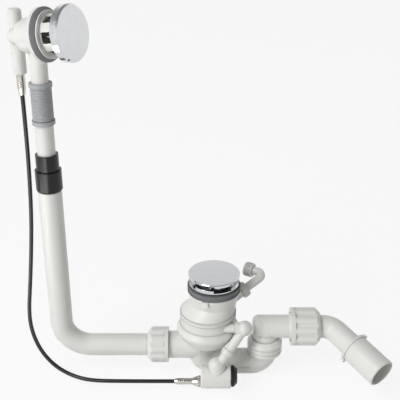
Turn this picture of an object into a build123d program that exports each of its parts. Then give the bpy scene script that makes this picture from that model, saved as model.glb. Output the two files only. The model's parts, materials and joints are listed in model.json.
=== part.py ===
"""Bath waste and overflow with a turning knob, a cable driven plug, a low trap and a floor inlet.

Millimetres, +Z up. The waste axis is X = Y = 0 and Z = 0 is the underside of the bath floor.
+X runs towards the drain outlet, -X towards the overflow, -Y is the side with the lifting gear.
"""
import os
from math import cos, pi, radians, sin, tan

from build123d import *

# Fits
run_gap = 0.1          # a turning or sliding fit, on the radius
screw_gap = 0.1        # a screwed joint, on the radius
clear = 0.3            # room between faces that move past each other
seat_gap = 0.3         # a lever's tip below the foot that it lifts
past = 1.0             # how far a cut or a root reaches past the face that it opens or joins

# Plug and its travel
plug_over = 1.0
plug_top = 17.5
plug_thick = 2.0
plug_edge = 0.8
plug_leg_count = 4
plug_leg_turn = 20.0
plug_leg_width = 40.0
plug_leg_depth = 3.0
plug_leg_wall = 2.6
valve_thick = 4.0
valve_drop = 2.5
valve_hub_r = 8.0
stem_r = 4.0
seal_wall = 2.4

# Waste flange and what clamps the bath floor
floor_gap = 3.5
drain_r = 23.0
sleeve_wall = 2.0
sleeve_depth = 14.0
flange_r = 34.0
flange_plate = 1.5
collar_wall = 3.0
collar_high = 3.6
notch_side_gap = 4.0
guide_high = 6.0
guide_wall = 3.0
guide_spokes = 3
floor_hole_r = 26.0
gasket_r = 36.0
gasket_thick = 8.0
ring_r = 35.5
ring_lip = 4.0
ring_high = 18.0
skirt_step = 1.0
neck_r = 31.0
ring_lug_turn = 250.0
ring_lug_wide = 9.0
ring_lug_out = 2.2
ring_lug_high = 8.0

# Bell, bowl and U tube
body_x = -8.0
wall = 2.5
bell_r = 37.0
bell_cone = 14.0
bell_high = 22.0
clamp_wall = 1.7
clamp_high = 6.5
bowl_r = 38.0
bowl_band = 11.5
bead_r = 39.4
bead_high = 2.0
rim_r = 43.0
shoulder_high = 7.5
rim_high = 3.0
foot_r = 29.0
taper_high = 20.0
lip_high = 3.0
o_ring = 0.9
trap_x = -18.0
trap_z = -127.0
trap_r = 18.0
trap_wall = 2.2
trap_bend_r = 20.0
seam_out = 1.0
seam_high = 1.6

# Overflow pipe, telescopic, with its bottom bend
pipe_x = -211.0
pipe_r = 15.25
pipe_wall = 1.6
pipe_bend_r = 40.0
run_z = -99.0
upper_r = 11.5
upper_wall = 1.5
upper_low = 110.0
coupling_low = 140.0
coupling_step = 168.0
coupling_top = 189.0
coupling_thin_r = 14.5
coupling_thick_r = 16.9
coupling_wall = 1.0
coupling_edge = 1.0
lip_seal_high = 6.0
stub_r = 19.0
stub_end = -80.0
pipe_in_stub = 12.0
union_long = 29.0
union_wall = 3.4
union_lip = 8.0
union_seal = 4.0
union_band = 5.0
lobe_count = 10
lobe_r = 6.5
lobe_high = 2.4
lobe_edge = 2.0

# Flexible hose under the overflow head
hose_top = 281.0
hose_low = 229.0
hose_r = 13.1
cuff_r = 14.2
cuff_long = 5.0
rib_count = 13
rib_deep = 0.7

# Overflow head
head_z = 338.0
head_turn = 24.0
head_tilt = 8.0
chamber_r = 21.0
chamber_back = -12.0
dome_end_r = 9.0
dome_end = -21.5
dome_bulge = 2.5
dome_wall = 3.0
boss_r = 6.0
boss_end = -23.6
head_flange_r = 32.0
head_flange_back = 10.0
head_flange_thick = 4.0
head_gasket_thick = 6.0
head_gasket_land = 1.0
spigot_r = 10.5
spigot_wall = 2.0
spigot_low = 264.0
cage_r = 23.5
cage_wall = 2.2
cage_rim_r = 28.5
cage_rim_thick = 2.0
cage_long = 22.0
cage_window_count = 6
cage_window_wide = 13.0
cage_front = 4.0
dial_r = 33.5
dial_gap = 1.5
dial_thick = 9.5
dial_face = 2.0
dial_edge = 2.0
hub_r = 7.0
spindle_r = 3.0
spindle_seal_wall = 1.5
screw_r = 2.0
screw_head_r = 3.8
screw_head_high = 2.2
screw_circle_r = 14.5
screw_boss_r = 3.6
screw_boss_deep = 12.0
screw_end_gap = 1.0

# Rack and pinion behind the head
tooth_module = 1.0
pinion_teeth = 12
tooth_share = 0.38
tooth_slope = 20.0
tooth_height = 0.8
tooth_root = 1.15
pinion_back = -33.1
pinion_front = -28.6
case_wall = 1.5
case_r = 8.9
tube_side = 6.5
tube_back = -33.4
tube_r = 8.4
tube_wall = 1.5
tube_low = 286.0
tube_top = 360.5
tube_cap = 5.0
tube_floor = 2.5
tube_chamfer = 1.8
rack_thick = 4.2
rack_wide = 9.0
rack_up = 8.0
rack_down = 17.0
rack_rod_r = 2.0
rack_rod_long = 16.0
dial_range = 90.0

# Cable
cable_r = 2.75
ferrule_long = 26.0
ferrule_r = 5.2
ferrule_tip_r = 3.9
lower_ferrule_long = 24.0
lower_ferrule_r = 4.4
lower_ferrule_wall = 0.6
cable_nut_long = 12.0
cable_nut_cone = 7.2
cable_nut_r = 7.5
cable_seat = 8.0
cable_y = -46.0
cable_z = -127.5

# Lever housing and lifting shaft
box_left = -18.0
box_right = 23.5
box_deep = 28.0
box_top = -101.0
box_low = -136.0
box_round = 3.0
box_cap_long = 8.0
box_cap_r = 14.0
tower_x = 4.0
tower_r = 11.5
tower_high = 11.0
slant_shift = 5.0
lever_tube_r = 6.4
lever_tube_bore = 3.0
slant_collar_r = 8.2
slant_collar_from = 12.0
slant_collar_long = 7.0
ball_x = 41.5
ball_y = -26.0
ball_z = -54.5
ball_r = 10.5
ball_wall = 2.2
cap_foot = 12.0
lever_boss_r = 6.0
lever_boss_end = 32.0
neck_start = 28.0
shaft_r = 2.8
shaft_seal_wall = 1.4
arm_half = 7.2
arm_tip_r = 3.2
arm_wide = 6.0
arm_hub_wall = 1.6
crank_r = 5.5
crank_thick = 3.0
slider_r = 6.0
slider_long = 16.0
slider_room = 1.0

# Outlet
riser_x = 72.0
riser_socket_r = 20.5
riser_socket_low = -112.0
riser_socket_top = -93.0
riser_tail_r = 17.5
riser_tail_low = -108.0
riser_nut_high = 22.0
riser_nut_wall = 3.6
riser_nut_lip = 3.0
riser_ring_count = 3
riser_ring_out = 1.3
riser_seal_high = 4.0
outlet_z = -69.0
outlet_r = 16.3
outlet_wall = 2.2
elbow_round = 8.0
socket_flare_x = 104.0
socket_x = 110.0
socket_end = 135.0
socket_r = 20.5
outlet_nut_long = 40.0
bend_pipe_r = 16.0
bend_pipe_wall = 2.0
bend_x = 163.0
bend_angle = 54.0
bend_roll = 17.0
bend_round = 24.0
bend_leg = 60.0
sleeve_r = 20.0
sleeve_bore_r = 17.8
sleeve_start = 44.0
sleeve_end = 98.0
sleeve_edge = 1.0
sleeve_collar_out = 1.2
sleeve_collar_long = 4.0
sleeve_lug_count = 2
sleeve_lug_turn = -29.0
sleeve_lug_wide = 7.0
sleeve_lug_out = 2.6

# Filling connection behind the waste
inlet_turn = 31.0
inlet_rise = 22.0
inlet_port_z = -33.5
inlet_start = 28.0
inlet_long = 62.0
inlet_r = 6.0
inlet_port_wall = 1.5
inlet_port_long = 18.0
inlet_wall = 1.8
inlet_bend_r = 7.0
inlet_leg = 31.0
inlet_leg_turn = 120.0
inlet_thread_r = 9.5
inlet_thread_long = 12.0
inlet_nut_long = 9.0
inlet_nut_wall = 3.0

# Worked out from the sizes above
plug_r = flange_r + plug_over
arm_long = -ball_y
lift = 2 * arm_long * sin(radians(arm_half))
plate_z = floor_gap
collar_base = plate_z + flange_plate
collar_top = collar_base + collar_high
cap_low = plug_top - plug_thick
valve_top = cap_low - valve_drop
valve_low = valve_top - valve_thick
seal_out_r = drain_r - run_gap
valve_r = seal_out_r - seal_wall
stem_foot = ball_z + arm_long * sin(radians(arm_half)) + arm_tip_r + seat_gap
ring_top = -gasket_thick
ring_low = ring_top - ring_high
sleeve_out_r = drain_r + sleeve_wall
bell_low = ring_low - bell_high
bowl_top = bell_low
bead_z = bowl_top - bowl_band
rim_top = bead_z - shoulder_high
rim_low = rim_top - rim_high
foot_z = rim_low - taper_high
lip_r = bell_r - wall - 2 * o_ring - 2 * run_gap
pinion_r = tooth_module * pinion_teeth / 2
pinion_mid = (pinion_back + pinion_front) / 2
rack_travel = pinion_r * radians(dial_range) / cos(radians(head_tilt))
head_flange_front = head_flange_back + head_flange_thick
cage_back = head_flange_front + head_gasket_thick
cage_end = cage_back + cage_long
dial_back = cage_end + dial_gap
dial_front = dial_back + dial_thick

head_axis = Vector(
    cos(radians(head_turn)) * cos(radians(head_tilt)),
    -sin(radians(head_turn)) * cos(radians(head_tilt)),
    sin(radians(head_tilt)),
)
head_side = Vector(sin(radians(head_turn)), cos(radians(head_turn)), 0)
HEAD = Plane(origin=(pipe_x, 0, head_z), x_dir=head_side, z_dir=head_axis)
tube_foot = HEAD.from_local_coords(Vector(tube_side, 0, tube_back))
tube_x = tube_foot.X
tube_y = tube_foot.Y
rack_z = tube_foot.Z

# Points of the cable from its upper ferrule to the lever housing
cable_top = tube_low - ferrule_long
cable_end = box_left - cable_nut_long - lower_ferrule_long
cable_route = [
    (tube_x, tube_y, cable_top),
    (tube_x, tube_y, 212.0),
    (-240.4, 21.5, 151.0),
    (-242.1, 17.0, 95.4),
    (-245.7, 11.5, 45.7),
    (-250.6, 5.0, -5.0),
    (-254.6, -2.0, -44.0),
    (-251.9, -8.0, -72.0),
    (-240.4, -16.0, -98.4),
    (-220.7, -26.0, -116.9),
    (-197.0, -35.0, -126.0),
    (-171.0, -42.5, -128.8),
    (-132.0, cable_y, cable_z),
    (cable_end, cable_y, cable_z),
]


def rod(radius, start, end):
    """A round bar between two points."""
    way = Vector(*end) - Vector(*start)
    place = Plane(origin=start, z_dir=way)
    return place * Cylinder(radius, way.length, align=(Align.CENTER, Align.CENTER, Align.MIN))


def upright(radius, z_low, z_high, x=0.0, y=0.0):
    """A vertical round bar."""
    return rod(radius, (x, y, z_low), (x, y, z_high))


def turned(outline):
    """A solid turned about Z from a closed (radius, height) outline of lines and arcs."""
    return revolve(Plane.XZ * make_face(outline), Axis.Z)


def lathe(points, where=Plane.XY):
    """A turned solid from (radius, height) points, about the Z axis of a plane."""
    return where * turned(Polyline(*points, close=True))


def tube(r_out, r_in, z_low, z_high, where=Plane.XY):
    """A plain ring or tube about the Z axis of a plane."""
    return lathe([(r_in, z_low), (r_out, z_low), (r_out, z_high), (r_in, z_high)], where)


def bent_bar(points, radius, bends):
    """A round bar along straight runs and tangent arcs."""
    path = FilletPolyline(*points, radius=bends)
    start = Vector(*points[0])
    section = Plane(origin=start, z_dir=Vector(*points[1]) - start) * Circle(radius)
    return sweep(section, path=path)


def around(item, count, first=0.0):
    """Copies of a solid spread evenly about the Z axis."""
    return [Rot(0, 0, first + 360 * i / count) * item for i in range(count)]


def sector(r_out, r_in, z_low, z_high, width):
    """A piece of a ring, width degrees wide, centred on +X."""
    ring = tube(r_out, r_in, z_low, z_high)
    half = tan(radians(width / 2)) * 2 * r_out
    wedge = make_face(Polyline((0, 0), (2 * r_out, -half), (2 * r_out, half), close=True))
    return ring & Pos(0, 0, z_low) * extrude(wedge, z_high - z_low)


def union_nut(where, thread_r, pipe_bore, length, lip, nut_wall):
    """A hand nut: screwed end with a plain band at 0, round lobes, lip round the pipe at the far end."""
    bore_r = thread_r + screw_gap
    out_r = bore_r + nut_wall
    lobed = length - lip / 2
    outside = lathe(
        [
            (0, 0),
            (out_r + lobe_high, 0),
            (out_r + lobe_high, union_band),
            (out_r, union_band),
            (out_r, lobed),
            (out_r - lip / 2, length),
            (0, length),
        ]
    )
    lobe = Pos(out_r + lobe_high - lobe_r, 0, union_band / 2) * Cylinder(
        lobe_r, lobed - union_band / 2, align=(Align.CENTER, Align.CENTER, Align.MIN)
    )
    lobe = chamfer(lobe.edges().group_by(Axis.Z)[-1], lobe_edge)
    inside = lathe(
        [
            (0, 0),
            (bore_r, 0),
            (bore_r, length - lip),
            (pipe_bore, length - lip),
            (pipe_bore, length),
            (0, length),
        ]
    )
    return where * (outside + around(lobe, lobe_count) - inside)


def plug_cap():
    """Round cover with short legs that drop into the flange's notches."""
    cover = lathe([(0, cap_low), (plug_r, cap_low), (plug_r, plug_top), (0, plug_top)])
    cover = chamfer(cover.edges().group_by(Axis.Z)[-1], plug_edge)
    leg_r = flange_r - clear
    leg = sector(leg_r, leg_r - plug_leg_wall, cap_low - plug_leg_depth, cap_low, plug_leg_width)
    return cover + around(leg, plug_leg_count, plug_leg_turn)


def plug_stem():
    """Valve disc with its hub and the long stem that the lever lifts."""
    return lathe(
        [
            (0, stem_foot),
            (stem_r, stem_foot),
            (stem_r, valve_low),
            (valve_r, valve_low),
            (valve_r, valve_top),
            (valve_hub_r, valve_top),
            (valve_hub_r, cap_low),
            (0, cap_low),
        ]
    )


def plug_seal():
    """Rubber ring round the valve disc, with a lip that closes the drain."""
    low = valve_low + valve_thick / 8
    return tube(seal_out_r, valve_r, low, valve_top - valve_thick / 8)


def waste_flange():
    """Ring on the bath floor: notched collar, sleeve into the drain and the stem's guide."""
    sleeve_low = -sleeve_depth
    ring = lathe(
        [
            (drain_r, sleeve_low),
            (sleeve_out_r, sleeve_low),
            (sleeve_out_r, plate_z),
            (flange_r, plate_z),
            (flange_r, collar_top),
            (flange_r - collar_wall, collar_top),
            (flange_r - collar_wall, collar_base),
            (drain_r, collar_base),
        ]
    )
    notch_width = plug_leg_width + notch_side_gap
    notch_in = flange_r - collar_wall - past
    notch = sector(flange_r + past, notch_in, collar_base, collar_top + past, notch_width)
    hub = tube(stem_r + run_gap + guide_wall, stem_r + run_gap, sleeve_low, sleeve_low + guide_high)
    reach = drain_r + sleeve_wall / 2
    spoke = Pos(0, 0, sleeve_low) * Box(
        reach, guide_wall, guide_high, align=(Align.MIN, Align.CENTER, Align.MIN)
    )
    stem_hole = upright(stem_r + run_gap, sleeve_low, sleeve_low + guide_high)
    spider = hub + around(spoke, guide_spokes)
    return ring - around(notch, plug_leg_count, plug_leg_turn) + (spider - stem_hole)


def flange_gasket():
    """Thick rubber ring between the bath floor and the ring below, with a groove round its edge."""
    groove = gasket_thick / 4
    return lathe(
        [
            (floor_hole_r, -gasket_thick),
            (gasket_r, -gasket_thick),
            (gasket_r, -gasket_thick + groove),
            (gasket_r - groove / 2, -gasket_thick + groove),
            (gasket_r - groove / 2, -groove),
            (gasket_r, -groove),
            (gasket_r, 0),
            (floor_hole_r, 0),
        ]
    )


def inlet_way():
    """Plane at the start of the filling tube, looking along it."""
    turn = radians(inlet_turn)
    rise = radians(inlet_rise)
    way = Vector(cos(turn) * cos(rise), sin(turn) * cos(rise), sin(rise))
    start = Vector(inlet_start * cos(turn), inlet_start * sin(turn), inlet_port_z)
    return Plane(origin=start, z_dir=way)


def clamp_flange():
    """Ring under the gasket: screwed bore for the flange's sleeve, a tapered skirt and a locating lug."""
    bore_r = sleeve_out_r + screw_gap
    ring = lathe(
        [
            (bore_r, ring_low),
            (neck_r, ring_low),
            (neck_r + skirt_step, ring_low + ring_lip),
            (ring_r - skirt_step, ring_top - ring_lip),
            (ring_r, ring_top - ring_lip),
            (ring_r, ring_top),
            (bore_r, ring_top),
        ]
    )
    lug = Pos(neck_r, 0, ring_top) * Box(
        ring_r + ring_lug_out - neck_r, ring_lug_wide, ring_lug_high, align=(Align.MIN, Align.CENTER, Align.MAX)
    )
    lug = fillet(lug.edges().filter_by(Axis.X).group_by(Axis.Z)[0], ring_lug_out)
    return ring + Rot(0, 0, ring_lug_turn) * lug


def inlet_elbow():
    """Filling tube with a bent, screwed end for the supply hose."""
    way = inlet_way()
    start = way.from_local_coords(Vector(0, 0, inlet_port_long - inlet_nut_long))
    corner = way.from_local_coords(Vector(0, 0, inlet_long))
    turn = radians(inlet_turn + inlet_leg_turn)
    leg_way = Vector(cos(turn), sin(turn), 0)
    end = corner + leg_way * inlet_leg
    points = [tuple(start), tuple(corner), tuple(end)]
    outside = bent_bar(points, inlet_r, [inlet_bend_r])
    inside = bent_bar(points, inlet_r - inlet_wall, [inlet_bend_r])
    thread_start = corner + leg_way * (inlet_leg - inlet_thread_long)
    thread = rod(inlet_thread_r, tuple(thread_start), tuple(end))
    return outside + thread - inside


def inlet_nut():
    """Ring nut that holds the filling tube in the bell's port."""
    out_r = inlet_r + inlet_port_wall + inlet_nut_wall
    return inlet_way() * tube(out_r, inlet_r + run_gap, inlet_port_long, inlet_port_long + inlet_nut_long)


def waste_bell():
    """Upper body with the filling port: leads the round neck over to the wider, offset bowl."""
    cone_low = ring_low - bell_cone
    top = Pos(0, 0, ring_low)
    low = Pos(body_x, 0, cone_low)
    outside = loft([top * Circle(neck_r), low * Circle(bell_r)])
    outside += upright(bell_r, bell_low, cone_low, body_x)
    inside = loft([top * Circle(sleeve_out_r), low * Circle(bell_r - wall)])
    inside += upright(bell_r - wall, bell_low, cone_low, body_x)
    port = inlet_way() * tube(inlet_r + inlet_port_wall, 0, 0, inlet_port_long)
    port -= upright(ring_r, ring_low, ring_top)
    port_in = inlet_way() * tube(inlet_r + run_gap, 0, 0, inlet_port_long)
    return outside + port - inside - port_in


def clamp_ring():
    """Ring round the foot of the bell, with two raised edges."""
    in_r = bell_r + run_gap
    out_r = bell_r + clamp_wall
    edge = clamp_wall / 2
    low = bell_low + run_gap
    top = low + clamp_high
    return lathe(
        [
            (in_r, low),
            (out_r, low),
            (out_r, low + edge),
            (out_r - edge, low + edge),
            (out_r - edge, top - edge),
            (out_r, top - edge),
            (out_r, top),
            (in_r, top),
        ],
        Plane((body_x, 0, 0)),
    )


def bowl_seal():
    """O-ring between the bowl's lip and the bell."""
    middle = lip_r + o_ring + run_gap
    return Pos(body_x, 0, bowl_top + lip_high / 2) * Torus(middle, o_ring)


def trap_path():
    """Corner points of the U tube's axis."""
    return [
        (trap_x, 0, foot_z + wall),
        (trap_x, 0, trap_z),
        (riser_x, 0, trap_z),
        (riser_x, 0, riser_socket_top),
    ]


def trap_body():
    """Bowl with the overflow stub, the lever's boss and the U tube up to the riser socket."""
    at = Plane((body_x, 0, 0))
    bowl = lathe(
        [
            (0, foot_z),
            (foot_r, foot_z),
            (rim_r, rim_low),
            (rim_r, rim_top),
            (bowl_r, bead_z),
            (bowl_r, bowl_top),
            (lip_r, bowl_top),
            (lip_r, bowl_top + lip_high),
            (0, bowl_top + lip_high),
        ],
        at,
    )
    bead = tube(bead_r, bowl_r - past, bead_z - bead_high, bead_z, at)
    hollow = lathe(
        [
            (0, foot_z + wall),
            (foot_r - wall, foot_z + wall),
            (rim_r - wall, rim_low),
            (rim_r - wall, rim_top),
            (bowl_r - wall, bead_z),
            (bowl_r - wall, bowl_top - wall),
            (lip_r - wall, bowl_top),
            (lip_r - wall, bowl_top + lip_high + past),
            (0, bowl_top + lip_high + past),
        ],
        at,
    )
    bends = [trap_bend_r, trap_bend_r]
    u_out = bent_bar(trap_path(), trap_r, bends)
    u_in = bent_bar(trap_path(), trap_r - trap_wall, bends)
    stub = rod(stub_r, (stub_end, 0, run_z), (trap_x, 0, run_z))
    stub_in = rod(pipe_r + run_gap, (stub_end, 0, run_z), (trap_x, 0, run_z))
    boss = rod(lever_boss_r, (body_x, ball_y, ball_z), (lever_boss_end, ball_y, ball_z))
    boss_in = rod(shaft_r + run_gap, (body_x, ball_y, ball_z), (lever_boss_end, ball_y, ball_z))
    seal_r = shaft_r + shaft_seal_wall + run_gap
    seal_in = rod(seal_r, (lever_boss_end - wall, ball_y, ball_z), (lever_boss_end, ball_y, ball_z))
    socket = upright(riser_socket_r, riser_socket_low, riser_socket_top, riser_x)
    socket_in = upright(riser_tail_r + run_gap, riser_tail_low - clear, riser_socket_top, riser_x)
    seam_long = riser_x - trap_x - 2 * trap_bend_r
    seam = Pos((trap_x + riser_x) / 2, 0, trap_z) * Box(seam_long, 2 * (trap_r + seam_out), seam_high)
    outside = bowl + bead + u_out + stub + socket + seam + (boss - hollow)
    return outside - hollow - u_in - stub_in - boss_in - seal_in - socket_in


def overflow_bend_pipe():
    """Long lower pipe with the bottom bend into the trap."""
    points = [
        (pipe_x, 0, coupling_step - wall),
        (pipe_x, 0, run_z),
        (stub_end + pipe_in_stub, 0, run_z),
    ]
    return bent_bar(points, pipe_r, [pipe_bend_r]) - bent_bar(points, pipe_r - pipe_wall, [pipe_bend_r])


def overflow_union_nut():
    """Hand nut that joins the overflow pipe to the trap's stub."""
    open_end = stub_end + union_long - union_lip - union_seal
    where = Plane(origin=(open_end, 0, run_z), z_dir=(-1, 0, 0))
    return union_nut(where, stub_r, pipe_r + clear, union_long, union_lip, union_wall)


def overflow_union_seal():
    """Rubber ring that the nut presses on the stub's end."""
    where = Plane(origin=(stub_end, 0, run_z), z_dir=(-1, 0, 0))
    return tube(stub_r - run_gap, pipe_r + run_gap, 0, union_seal, where)


def slip_coupling():
    """Stepped black sleeve where the upper pipe slides into the lower one."""
    return lathe(
        [
            (pipe_r + run_gap, coupling_low),
            (coupling_thick_r - coupling_edge, coupling_low),
            (coupling_thick_r, coupling_low + 2 * coupling_edge),
            (coupling_thick_r, coupling_step),
            (coupling_thin_r, coupling_step),
            (coupling_thin_r, coupling_top),
            (upper_r + run_gap, coupling_top),
            (upper_r + run_gap, coupling_step + lip_seal_high),
            (coupling_thin_r - coupling_wall, coupling_step + lip_seal_high),
            (coupling_thin_r - coupling_wall, coupling_step - wall),
            (pipe_r + run_gap, coupling_step - wall),
        ],
        Plane((pipe_x, 0, 0)),
    )


def coupling_seal():
    """Lip ring in the coupling round the upper pipe."""
    low = coupling_step - wall + run_gap
    top = coupling_step + lip_seal_high - run_gap
    out_r = coupling_thin_r - coupling_wall - run_gap
    return tube(out_r, upper_r + run_gap, low, top, Plane((pipe_x, 0, 0)))


def upper_pipe():
    """Thin pipe that telescopes into the lower one, with a stop rim at its lower end."""
    top = hose_low + cuff_long * 2
    at = Plane((pipe_x, 0, 0))
    rim = tube(pipe_r - pipe_wall - clear, upper_r - upper_wall, upper_low, upper_low + wall, at)
    return tube(upper_r, upper_r - upper_wall, upper_low, top, at) + rim


def flexible_hose():
    """Ribbed hose with a plain cuff at each end."""
    bore_top = spigot_r + run_gap
    bore_low = upper_r + run_gap
    rib_low = hose_low + cuff_long
    rib_top = hose_top - cuff_long
    pitch = (rib_top - rib_low) / rib_count
    outline = [(bore_low, hose_low), (cuff_r, hose_low), (cuff_r, rib_low)]
    for i in range(rib_count):
        z = rib_low + i * pitch
        outline += [
            (hose_r - rib_deep, z),
            (hose_r - rib_deep, z + 0.3 * pitch),
            (hose_r, z + 0.5 * pitch),
            (hose_r, z + 0.8 * pitch),
        ]
    outline += [
        (hose_r - rib_deep, rib_top),
        (cuff_r, rib_top),
        (cuff_r, hose_top),
        (bore_top, hose_top),
        (bore_top, rib_top - cuff_long),
        (bore_low, rib_low + cuff_long),
    ]
    return lathe(outline, Plane((pipe_x, 0, 0)))


def overflow_elbow():
    """Moulded elbow: flange, round chamber with a domed back and the hose spigot."""
    body = lathe(
        [
            (0, boss_end),
            (boss_r, boss_end),
            (boss_r, dome_end),
            (dome_end_r, dome_end),
            ((dome_end_r + chamber_r) / 2 + dome_bulge, (dome_end + chamber_back) / 2 - dome_bulge),
            (chamber_r, chamber_back),
            (chamber_r, head_flange_back),
            (head_flange_r, head_flange_back),
            (head_flange_r, head_flange_front),
            (0, head_flange_front),
        ],
        HEAD,
    )
    hollow = lathe(
        [
            (0, dome_end + dome_wall),
            (dome_end_r - wall, dome_end + dome_wall),
            (chamber_r - wall, chamber_back),
            (chamber_r - wall, head_flange_front + past),
            (0, head_flange_front + past),
        ],
        HEAD,
    )
    spigot = upright(spigot_r, spigot_low, head_z, pipe_x)
    spigot_in = upright(spigot_r - spigot_wall, spigot_low, head_z, pipe_x)
    boss_front = head_flange_front - wall
    screw_boss = Pos(screw_circle_r, 0, boss_front - screw_boss_deep) * (
        Cylinder(screw_boss_r, screw_boss_deep, align=(Align.CENTER, Align.CENTER, Align.MIN))
        + Box(chamber_r - wall / 2 - screw_circle_r, 2 * screw_boss_r, screw_boss_deep,
              align=(Align.MIN, Align.CENTER, Align.MIN))
    )
    screw_hole = Pos(screw_circle_r, 0, boss_front - screw_boss_deep) * Cylinder(
        screw_r + screw_gap, screw_boss_deep, align=(Align.CENTER, Align.CENTER, Align.MIN)
    )
    bore = tube(spindle_r + run_gap, 0, boss_end, head_flange_front, HEAD)
    seal_in = tube(spindle_r + spindle_seal_wall + run_gap, 0, boss_end, boss_end + case_wall, HEAD)
    shell = body + spigot - hollow - spigot_in
    shell += [HEAD * one for one in around(screw_boss, 2)]
    shell -= [HEAD * one for one in around(screw_hole, 2)]
    return shell - bore - seal_in


def spindle_seal():
    """O-ring in the end of the elbow's boss."""
    out_r = spindle_r + spindle_seal_wall
    return tube(out_r, spindle_r + run_gap, boss_end + run_gap, boss_end + case_wall - run_gap, HEAD)


def overflow_gasket():
    """Thick rubber ring between the elbow's flange and the bath wall."""
    lip = head_gasket_thick / 3
    in_r = chamber_r + run_gap
    return lathe(
        [
            (in_r, head_flange_front),
            (head_flange_r, head_flange_front),
            (head_flange_r, head_flange_front + lip),
            (cage_rim_r + head_gasket_land, cage_back),
            (in_r, cage_back),
        ],
        HEAD,
    )


def overflow_cage():
    """Windowed guard on the bath wall with the spindle's front bearing."""
    front = cage_end - cage_front
    shell = lathe(
        [
            (cage_r - cage_wall, cage_back),
            (cage_rim_r, cage_back),
            (cage_rim_r, cage_back + cage_rim_thick),
            (cage_r, cage_back + cage_rim_thick),
            (cage_r, cage_end),
            (spindle_r + run_gap, cage_end),
            (spindle_r + run_gap, front),
            (cage_r - cage_wall, front),
        ]
    )
    window_low = cage_back + 2 * cage_rim_thick
    window = Pos(cage_r, 0, window_low) * Box(
        4 * cage_wall, cage_window_wide, front - cage_rim_thick - window_low,
        align=(Align.CENTER, Align.CENTER, Align.MIN),
    )
    hole = Pos(screw_circle_r, 0, front) * Cylinder(
        screw_r + screw_gap, cage_front, align=(Align.CENTER, Align.CENTER, Align.MIN)
    )
    return HEAD * (shell - around(window, cage_window_count) - around(hole, 2))


def overflow_screws():
    """Two long screws that draw the guard to the elbow."""
    end = head_flange_front - wall - screw_boss_deep + screw_end_gap
    screw = lathe(
        [
            (0, end),
            (screw_r, end),
            (screw_r, cage_end),
            (screw_head_r, cage_end),
            (screw_head_r, cage_end + screw_head_high / 2),
            (screw_r, cage_end + screw_head_high),
            (0, cage_end + screw_head_high),
        ]
    )
    return [HEAD * Rot(0, 0, turn) * Pos(screw_circle_r, 0, 0) * screw for turn in (0, 180)]


def overflow_dial():
    """Hollow round knob with a hub on the spindle."""
    return lathe(
        [
            (0, dial_front),
            (dial_r - dial_edge, dial_front),
            (dial_r, dial_front - dial_edge),
            (dial_r, dial_back),
            (dial_r - dial_face, dial_back),
            (dial_r - dial_face, dial_front - dial_face),
            (hub_r, dial_front - dial_face),
            (hub_r, cage_end + clear),
            (spindle_r, cage_end + clear),
            (spindle_r, dial_front - 2 * dial_face),
            (0, dial_front - 2 * dial_face),
        ],
        HEAD,
    )


def pinion_tooth():
    """Outline of one pinion tooth, pointing along +X."""
    pitch = pi * tooth_module
    half = tooth_share * pitch / 2
    slope = tan(radians(tooth_slope))
    root_r = pinion_r - tooth_root
    tip_r = pinion_r + tooth_height
    return make_face(
        Polyline(
            (root_r - past, -half - slope * tooth_root),
            (root_r, -half - slope * tooth_root),
            (tip_r, -half + slope * tooth_height),
            (tip_r, half - slope * tooth_height),
            (root_r, half + slope * tooth_root),
            (root_r - past, half + slope * tooth_root),
            close=True,
        )
    )


def dial_spindle():
    """Shaft from the knob to the gear case, with the pinion on its end."""
    front = dial_front - 2 * dial_face
    shaft = tube(spindle_r, 0, pinion_back, front, Plane.XY)
    gear = Pos(0, 0, pinion_back) * Cylinder(
        pinion_r - tooth_root, pinion_front - pinion_back, align=(Align.CENTER, Align.CENTER, Align.MIN)
    )
    tooth = Pos(0, 0, pinion_back) * extrude(pinion_tooth(), pinion_front - pinion_back)
    return HEAD * (shaft + gear + around(tooth, pinion_teeth))


def drive_housing():
    """Upright tube for the rack with the round gear case that sits on the elbow's boss."""
    case_back = pinion_back - case_wall - clear
    case_in_r = case_r - case_wall
    case = tube(case_r, 0, case_back, boss_end, HEAD)
    case_in = tube(case_in_r, 0, case_back + case_wall, boss_end - case_wall, HEAD)
    bore = tube(spindle_r + run_gap, 0, case_back + case_wall, boss_end, HEAD)
    column = upright(tube_r, tube_low, tube_top, tube_x, tube_y)
    column = chamfer(column.edges().group_by(Axis.Z)[0], tube_chamfer)
    column_in = upright(tube_r - tube_wall, tube_low + tube_floor, tube_top, tube_x, tube_y)
    wire_hole = upright(rack_rod_r + clear, tube_low, tube_top, tube_x, tube_y)
    return case + column - case_in - column_in - bore - wire_hole


def drive_cap():
    """Domed cap in the top of the drive tube."""
    edge = tube_cap / 2
    plug_in_r = tube_r - tube_wall - run_gap
    return lathe(
        [
            (0, tube_top - edge),
            (plug_in_r, tube_top - edge),
            (plug_in_r, tube_top),
            (tube_r, tube_top),
            (tube_r, tube_top + edge),
            (tube_r - edge, tube_top + tube_cap),
            (0, tube_top + tube_cap),
        ],
        Plane((tube_x, tube_y, 0)),
    )


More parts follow.
